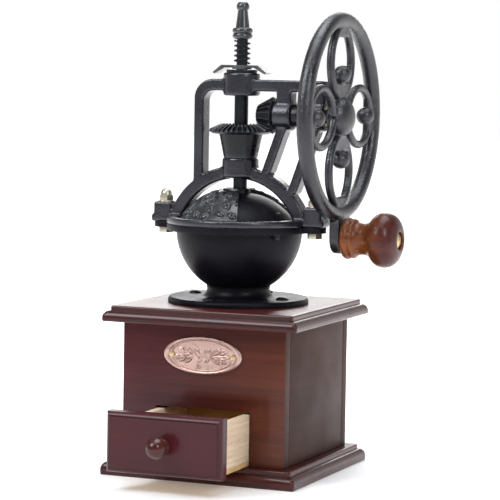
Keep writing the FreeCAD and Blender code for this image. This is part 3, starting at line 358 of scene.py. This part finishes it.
# painted light and shade, each a colour to multiply by and the two places on the X axis: the first
# paints the front's right side lighter and orange, where the light falls; the second paints shade,
# darker and purple, on the grip
PAINTED_LIGHT_AMBER = ((1.40, 2.5, 0.35), -0.015, 0.070)
PAINTED_SHADE_PURPLE = ((0.40, 0.26, 0.80), 0.086, 0.101)
LOOKS = {
    lacquered_wood: {
        "wood_board": dict(along="X", dark=DARK_WOOD, light=LIGHT_WOOD, gloss=0.16, coat=0.60),
        # the front's bluer tone is partly the wood's own colour and partly painted reflection, the
        # purple sheen on its left
        "wood_front": dict(along="X", dark=(0.016, 0.0032, 0.0045), light=(0.082, 0.0112, 0.0145),
                           gloss=0.15, coat=0.30, shift=PAINTED_LIGHT_AMBER),
        "wood_drawer": dict(along="X", dark=DARK_WOOD, light=(0.044, 0.0052, 0.0078),
                            gloss=0.15, coat=0.30),
        "wood_side": dict(along="Y", dark=(0.010, 0.0036, 0.0028), light=(0.044, 0.0120, 0.0075),
                          gloss=0.34, coat=0.04),
        "wood_knob": dict(along="Y", dark=(0.024, 0.0042, 0.0042), light=(0.11, 0.018, 0.012),
                          gloss=0.12, coat=0.6),
        # painted shade: the grip's shift makes it darker and purple towards its +X end
        "wood_grip": dict(along="X", dark=(0.035, 0.0065, 0.0045), light=(0.30, 0.084, 0.0150),
                          gloss=0.22, coat=0.40, scale=0.6, shift=PAINTED_SHADE_PURPLE),
    },
    pale_beech: {
        # painted shade: the first beech is darker and more orange than the second, standing for
        # shade and orange bounce light inside the drawer
        "beech_x": dict(along="X", dark=(0.44, 0.24, 0.080), light=(0.70, 0.46, 0.20)),
        "beech_y": dict(along="Y", dark=(0.60, 0.42, 0.27), light=(0.88, 0.72, 0.53)),
    },
    cast_iron: {
        "iron_bowl": dict(base=(0.0026, 0.0024, 0.0048), rough=0.40, grain=1.2, shine=0.14,
                          rubbed_and_highlit=0.7, bare_and_highlight=(0.110, 0.088, 0.078)),
        "iron_frame": dict(base=(0.0070, 0.0066, 0.0125), rough=0.24, grain=1.5, shine=0.70,
                           rubbed_and_highlit=0.9),
        "iron_wheel": dict(base=(0.0052, 0.0050, 0.0085), rough=0.28, grain=3.3, shine=0.74,
                           rubbed_and_highlit=0.8),
        "iron_finial": dict(base=(0.0200, 0.0200, 0.0225), rough=0.22, grain=0.5, shine=0.80,
                            rubbed_and_highlit=0.7),
        "iron_smooth": dict(base=(0.0040, 0.0039, 0.0058), rough=0.30, grain=0.5, shine=0.32,
                            rubbed_and_highlit=0.45),
        "iron_relief": dict(base=(0.0130, 0.0131, 0.0170), rough=0.25, grain=0.5, shine=0.75,
                            rubbed_and_highlit=0.9),
    },
    metal: {
        "iron_turned": dict(base=(0.030, 0.031, 0.036), rough=0.36, turned_along="Z"),
        "steel": dict(base=(0.62, 0.60, 0.56), rough=0.24),
        "brass": dict(base=(0.60, 0.45, 0.24), rough=0.26, stain=(0.12, 0.06, 0.02)),
        "nickel": dict(base=(0.54, 0.49, 0.40), rough=0.30, stain=(0.14, 0.10, 0.06)),
        "copper": dict(base=(0.62, 0.42, 0.365), rough=0.32, stain=(0.12, 0.065, 0.055),
                       stained=0.70),
        "burr": dict(base=(0.30, 0.30, 0.31), rough=0.35, turned_along="Z"),
    },
}
MATERIALS = {name: make(name, **look)
             for make, looks in LOOKS.items() for name, look in looks.items()}

FINISH = {
    "wood_board": ["plinth_board", "lid_board"],
    "wood_front": ["front_panel", "back_panel"],
    "wood_drawer": ["drawer_front"],
    "wood_side": ["left_panel", "right_panel"],
    "wood_knob": ["drawer_knob"],
    "wood_grip": ["handle_knob"],
    "beech_x": ["drawer_back", "drawer_bottom"],
    "beech_y": ["drawer_left_side", "drawer_right_side", "drawer_runners"],
    "iron_bowl": ["bowl", "hopper_door"],
    "iron_frame": ["yoke_frame"],
    "iron_wheel": ["flywheel"],
    "iron_finial": ["finial", "adjusting_wing"],
    "iron_smooth": ["driven_gear", "pinion", "thrust_washer",
                    "shaft_collar", "cover_bush", "flange_screws", "wheel_set_screw"],
    "iron_turned": ["drive_shaft", "wheel_shaft", "adjusting_spring", "gear_pin", "burr_nut"],
    "steel": ["board_screws", "drawer_knob_screw", "handle_washer"],
    "nickel": ["clamp_bolts", "bolt_washers", "acorn_nuts"],
    "brass": ["upper_bush", "lower_bush", "inner_wheel_bush", "outer_wheel_bush", "label_pins",
              "handle_spindle"],
    "burr": ["outer_burr", "inner_burr"],
}


def paint(piece, material):
    piece.data.materials.clear()
    piece.data.materials.append(MATERIALS[material])


# degrees between two faces beyond which their edge counts as sharp
SHARP = 35
# share of a face's normal along the X axis beyond which it looks that way
SIDEWAYS = 0.7


def face_sides(piece, material):
    """Another material for the faces that look along the X axis, such as a board's end grain."""
    piece.data.materials.append(MATERIALS[material])
    for face in piece.data.polygons:
        if abs(face.normal.x) > SIDEWAYS:
            face.material_index = 1


def soften(piece, angle):
    """Smooth shading that keeps the edges sharper than an angle."""
    piece.data.shade_smooth()
    piece.data.set_sharp_from_angle(angle=math.radians(angle))


def weld(piece):
    modifier = piece.modifiers.new("weld", "WELD")
    modifier.merge_threshold = 1e-6


def bevel(piece, width):
    """Round every sharp edge."""
    weld(piece)
    modifier = piece.modifiers.new("bevel", "BEVEL")
    modifier.width = width * MM
    modifier.segments = 3
    modifier.limit_method = "ANGLE"
    modifier.angle_limit = math.radians(SHARP)
    modifier.use_clamp_overlap = True
    modifier.harden_normals = False


def cast(piece, voxel, passes, grow):
    """Melt a machined shape into a casting with soft corners and fillets."""
    weld(piece)
    remesh = piece.modifiers.new("remesh", "REMESH")
    remesh.mode = "VOXEL"
    remesh.voxel_size = voxel * MM
    remesh.use_smooth_shade = True
    smooth = piece.modifiers.new("smooth", "SMOOTH")
    smooth.factor = 0.5
    smooth.iterations = passes
    swell = piece.modifiers.new("swell", "DISPLACE")
    swell.strength = grow * MM
    swell.mid_level = 0.0


# width in millimetres of the rounded edges
BEVELS = {
    0.5: ["front_panel", "back_panel", "left_panel", "right_panel", "drawer_back", "drawer_bottom",
          "drawer_left_side", "drawer_right_side", "drawer_runners"],
    0.6: ["bowl"],
    0.35: ["shaft_collar", "thrust_washer", "clamp_bolts", "acorn_nuts", "wheel_shaft",
           "cover_bush"],
    0.25: ["bolt_washers", "handle_spindle", "label_pins", "flange_screws"],
}
# voxel and swell in millimetres around a number of smoothing passes
CASTINGS = {"yoke_frame": (0.55, 22, 0.35), "flywheel": (0.60, 10, 0.45),
            "handle_knob": (0.45, 12, 0.10), "drawer_knob": (0.40, 10, 0.08)}


def finish_cad_nodes():
    for material, names in FINISH.items():
        for name in names:
            paint(NODES[name], material)
            soften(NODES[name], SHARP)
    for name in ("front_panel", "back_panel"):
        face_sides(NODES[name], "wood_side")
    for width, names in BEVELS.items():
        for name in names:
            bevel(NODES[name], width)
    for name, (voxel, passes, grow) in CASTINGS.items():
        cast(NODES[name], voxel, passes, grow)


def finish_piece(piece, material, body, replaced=None, angle=SHARP):
    """Paint a new piece, give it to a body and put it in a CAD node's place."""
    paint(piece, material)
    soften(piece, angle)
    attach(piece, body)
    if replaced:
        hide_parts(replaced)


# ---------------------------------------------------------------- relief


def local(u, v, middle, angle):
    """Coordinates along and across a motif that is turned about its middle."""
    du, dv = u - middle[0], v - middle[1]
    turn = math.radians(angle)
    return (du * math.cos(turn) + dv * math.sin(turn), dv * math.cos(turn) - du * math.sin(turn))


def leaf(u, v, middle, angle, length, width):
    """A pointed leaf with a sunk midrib and slanted side veins, from 0 to 1."""
    along, across = local(u, v, middle, angle)
    run = np.clip(along / (length / 2), -1, 1)
    half = width / 2 * (1 - run ** 2) ** 0.75 + 1e-6
    body = np.clip(1 - (np.abs(across) / half) ** 2.4, 0, 1) ** 0.6
    body[np.abs(along) >= length / 2] = 0
    rib = np.exp(-(across / 0.35) ** 2) * 0.45
    veins = 0.16 * (0.5 + 0.5 * np.cos((along - 0.7 * np.abs(across)) * 2.6))
    return np.clip(body * (1 - rib - veins), 0, 1)


def bean(u, v, middle, angle, length, width):
    """A coffee bean with its curved cleft, from 0 to 1."""
    along, across = local(u, v, middle, angle)
    reach = (along / (length / 2)) ** 2 + (across / (width / 2)) ** 2
    body = np.sqrt(np.clip(1 - reach, 0, 1))
    cleft = across - 0.16 * width * np.sin(along / length * 5.4)
    return body * (1 - 0.62 * np.exp(-(cleft / (0.085 * width)) ** 2))


def stem(distance, width):
    return np.exp(-(distance / width) ** 2) * 0.55


def grid_mesh(name, points, closed, caps=()):
    """A mesh over a net of points and its caps; closed joins the last column to the first."""
    rows, columns = points.shape[:2]
    spare = 0 if closed else 1
    faces = [(r * columns + c, r * columns + (c + 1) % columns,
              (r + 1) * columns + (c + 1) % columns, (r + 1) * columns + c)
             for r in range(rows - 1) for c in range(columns - spare)]
    mesh = bpy.data.meshes.new(name)
    mesh.from_pydata([tuple(point) for point in points.reshape(-1, 3)], [], faces + list(caps))
    piece = bpy.data.objects.new(name, mesh)
    bpy.context.scene.collection.objects.link(piece)
    return piece


def close_up(piece):
    """Weld the net's seams and turn every face outwards."""
    bpy.context.view_layer.objects.active = piece
    piece.select_set(True)
    bpy.ops.object.mode_set(mode="EDIT")
    bpy.ops.mesh.select_all(action="SELECT")
    bpy.ops.mesh.remove_doubles(threshold=2e-5)
    bpy.ops.mesh.normals_make_consistent(inside=False)
    bpy.ops.object.mode_set(mode="OBJECT")
    piece.select_set(False)


# ---------------------------------------------------------------- hopper cover

# millimetres, here and below
COVER_RADIUS = 43.4
COVER_WALL = 2.2
COVER_TOP = 172.6
COVER_MIDDLE = COVER_TOP - COVER_RADIUS
COVER_HOLE = 6.5
COVER_FOOT = 150.3
# the fixed part's two ends, in degrees from the X axis
COVER_START = 44.0
COVER_FINISH = 290.0
# height of the relief, and how far its ground lies inside the cover's radius
RELIEF = 1.25
GROUND = 0.35
# points round the cover, and down its outside and inside
COVER_COLUMNS, OUTER_ROWS, INNER_ROWS = 620, 170, 24
# the garland's stem: circle that it runs on, distance from the crown, and its waves
GARLAND_CIRCLE = 26.0
GARLAND_ARC = 26.5
GARLAND_WAVE = 2.6
GARLAND_WAVES = 9
# motifs in a row: how many, how many would fill the circle, and where the first is in degrees
LEAVES = (26, 34, 32)
LOWER_BEANS = (18, 23, 34)
UPPER_BEANS = (13, 17, 40)
# distance from the crown of the plain raised lines, and their width
LINES = (42.8, 10.0)
LINE_WIDTH = 0.7


def garland_row(count, full_circle, first):
    """Index and turn in radians of each motif in a row."""
    return [(index, math.radians(first + index * 360 / full_circle)) for index in range(count)]


def garland_stem(turn):
    """Distance of the garland's stem from the cover's crown, at a turn in radians."""
    return GARLAND_ARC + GARLAND_WAVE * np.sin(turn * GARLAND_WAVES)


def cover_relief(azimuth, arc):
    """Height of the garland cast on the cover: a stem with leaves on both sides and beans."""
    around = np.radians(azimuth) * GARLAND_CIRCLE
    height = stem(arc - garland_stem(np.radians(azimuth)), 0.6)
    for index, turn in garland_row(*LEAVES):
        side = 1 if index % 2 else -1
        middle = (turn * GARLAND_CIRCLE, garland_stem(turn) + side * 4.0)
        lean = side * (48 + 9 * (index % 3))
        height = np.maximum(height, leaf(around, arc, middle, lean, 9.4, 5.2))
    for index, turn in garland_row(*LOWER_BEANS):
        middle = (turn * GARLAND_CIRCLE + 1.2 * (index % 2), 36.6 + 0.9 * (index % 3))
        height = np.maximum(height, bean(around, arc, middle, 20 + 47 * (index % 3), 5.6, 4.0))
    for index, turn in garland_row(*UPPER_BEANS):
        middle = (turn * GARLAND_CIRCLE, 16.4 + 1.4 * (index % 2))
        height = np.maximum(height, bean(around, arc, middle, 75 - 40 * (index % 2), 6.4, 4.6))
    lines = sum(np.exp(-((arc - line) / LINE_WIDTH) ** 2) for line in LINES)
    return np.maximum(height, 0.8 * np.clip(lines, 0, 1))


def make_relief_cover():
    """The fixed part of the hopper's cover, cast with a garland of leaves and beans."""
    inner = COVER_RADIUS - COVER_WALL
    low = math.acos((COVER_FOOT - COVER_MIDDLE) / COVER_RADIUS)
    high = math.asin(COVER_HOLE / COVER_RADIUS)
    azimuths = np.linspace(COVER_START, COVER_FINISH, COVER_COLUMNS)
    az, polar = np.meshgrid(azimuths, np.linspace(high, low, OUTER_ROWS))
    edge = np.minimum(az - COVER_START, COVER_FINISH - az) * polar
    fade = np.clip(edge / 1.6, 0, 1) * np.clip((low - polar) * 60, 0, 1)
    radius = COVER_RADIUS - GROUND + RELIEF * cover_relief(az, polar * COVER_RADIUS) * fade
    inner_low = math.acos((COVER_FOOT - COVER_MIDDLE) / inner)
    inner_high = math.asin(COVER_HOLE / inner)
    under = np.meshgrid(azimuths, np.linspace(inner_low, inner_high, INNER_ROWS))
    az = np.vstack([az, under[0], az[:1]])
    polar = np.vstack([polar, under[1], polar[:1]])
    radius = np.vstack([radius, np.full(under[0].shape, inner), radius[:1]])
    turn = np.radians(az)
    points = np.stack([radius * np.sin(polar) * np.cos(turn), radius * np.sin(polar) * np.sin(turn),
                       COVER_MIDDLE + radius * np.cos(polar)], axis=-1) * MM
    rows, columns = points.shape[:2]
    ends = [tuple(row * columns + column for row in range(rows - 1))
            for column in (0, columns - 1)]
    piece = grid_mesh("cover_casting", points, False, ends)
    close_up(piece)
    finish_piece(piece, "iron_relief", "mill", "hopper_cover", 60)


# ---------------------------------------------------------------- label

# the panel's face on the Y axis, and the middle height and half size of the label on it
LABEL_FACE = -52.4
LABEL_Z = 75.0
LABEL_HALF = (25.2, 11.3)
LABEL_PIN = 20.0
# middle and half width of the border and of the line, as shares of the way to the edge
BORDER, BORDER_HALF = 0.925, 0.075
INNER_LINE, INNER_LINE_HALF = 0.80, 0.014
# the same shares where the field and the sprig end
FIELD_EDGE = 0.86
SPRIG_EDGE = 0.76


def label_height(x, z, reach):
    """Rise of the label over the panel: a rolled border, a fine inner line and a sprig."""
    border = 0.85 * np.sqrt(np.clip(1 - ((reach - BORDER) / BORDER_HALF) ** 2, 0, 1))
    line = 0.30 * np.exp(-((reach - INNER_LINE) / INNER_LINE_HALF) ** 2)
    field = 0.95 + 0.25 * (1 - reach ** 2)
    sprig = np.zeros_like(x)
    for side in (-1, 1):
        sprig = np.maximum(sprig, bean(x, z, (side * 2.9, 0.0), 90 - side * 16, 8.6, 5.0))
        sprig = np.maximum(sprig, stem(z - 0.35 * np.sin(x * 0.5), 0.30)
                           * (np.abs(x) < 15.5) * (np.abs(x) > 4.5))
        for start, tilt, length in ((8.0, 36, 7.2), (12.4, 30, 5.8)):
            for lift in (-1, 1):
                middle = (side * (start + 1.0), lift * 2.6)
                sprig = np.maximum(sprig, leaf(x, z, middle, side * lift * tilt, length, 3.4))
        sprig = np.maximum(sprig, leaf(x, z, (side * 16.2, 0), 0, 3.4, 2.2))
    sprig *= reach < SPRIG_EDGE
    seat = np.exp(-(((np.abs(x) - LABEL_PIN) ** 2 + z ** 2) / 4.2)) * 0.2
    inside = reach < FIELD_EDGE
    return (np.maximum(field - seat, 0) * inside + np.where(inside, 0, 0.80 + border)
            + line * inside + 0.62 * sprig)


def make_label():
    """Pressed oval label, its back flat against the panel."""
    rings, spokes = 120, 320
    reach = np.sqrt(np.linspace(0.0004, 1, rings))
    turn = np.linspace(0, 2 * math.pi, spokes, endpoint=False)
    reach, turn = np.meshgrid(reach, turn, indexing="ij")
    x = LABEL_HALF[0] * reach * np.cos(turn)
    z = LABEL_HALF[1] * reach * np.sin(turn)
    rise = label_height(x, z, reach)
    face = np.stack([x, LABEL_FACE - rise, z + LABEL_Z], axis=-1)
    back = np.stack([x[-1:], np.full_like(x[-1:], LABEL_FACE), z[-1:] + LABEL_Z], axis=-1)
    caps = [tuple(row * spokes + index for index in range(spokes)) for row in (0, rings)]
    piece = grid_mesh("label_pressing", np.concatenate([face, back]) * MM, True, caps)
    close_up(piece)
    finish_piece(piece, "copper", "mill", "label_plate", 50)


# ---------------------------------------------------------------- stud under the rim

STUD_TURN = math.radians(-34.4)
STUD_CIRCLE = 41.0
# height of the rim's underside
RIM_UNDER = 146.3
# radius and drop below the rim, from the rounded end up
STUD_PROFILE = [(0.02, 3.4), (0.8, 3.3), (1.3, 2.9), (1.5, 2.3), (1.5, 1.3), (2.0, 0.8),
                (2.0, 0.0), (0.02, 0.0)]


def make_rim_stud():
    """The small round-ended stud that hangs under the bowl's rim."""
    turn = np.linspace(0, 2 * math.pi, 32, endpoint=False)
    radius, drop = (np.array(values)[:, None] for values in zip(*STUD_PROFILE))
    x = STUD_CIRCLE * math.cos(STUD_TURN) + radius * np.cos(turn)
    y = STUD_CIRCLE * math.sin(STUD_TURN) + radius * np.sin(turn)
    points = np.stack([x, y, np.broadcast_to(RIM_UNDER - drop, x.shape)], axis=-1) * MM
    piece = grid_mesh("rim_stud", points, True)
    close_up(piece)
    finish_piece(piece, "iron_smooth", "mill")


# ---------------------------------------------------------------- making

make_camera()
make_studio()
make_floor()
finish_cad_nodes()
make_relief_cover()
make_label()
make_rim_stud()
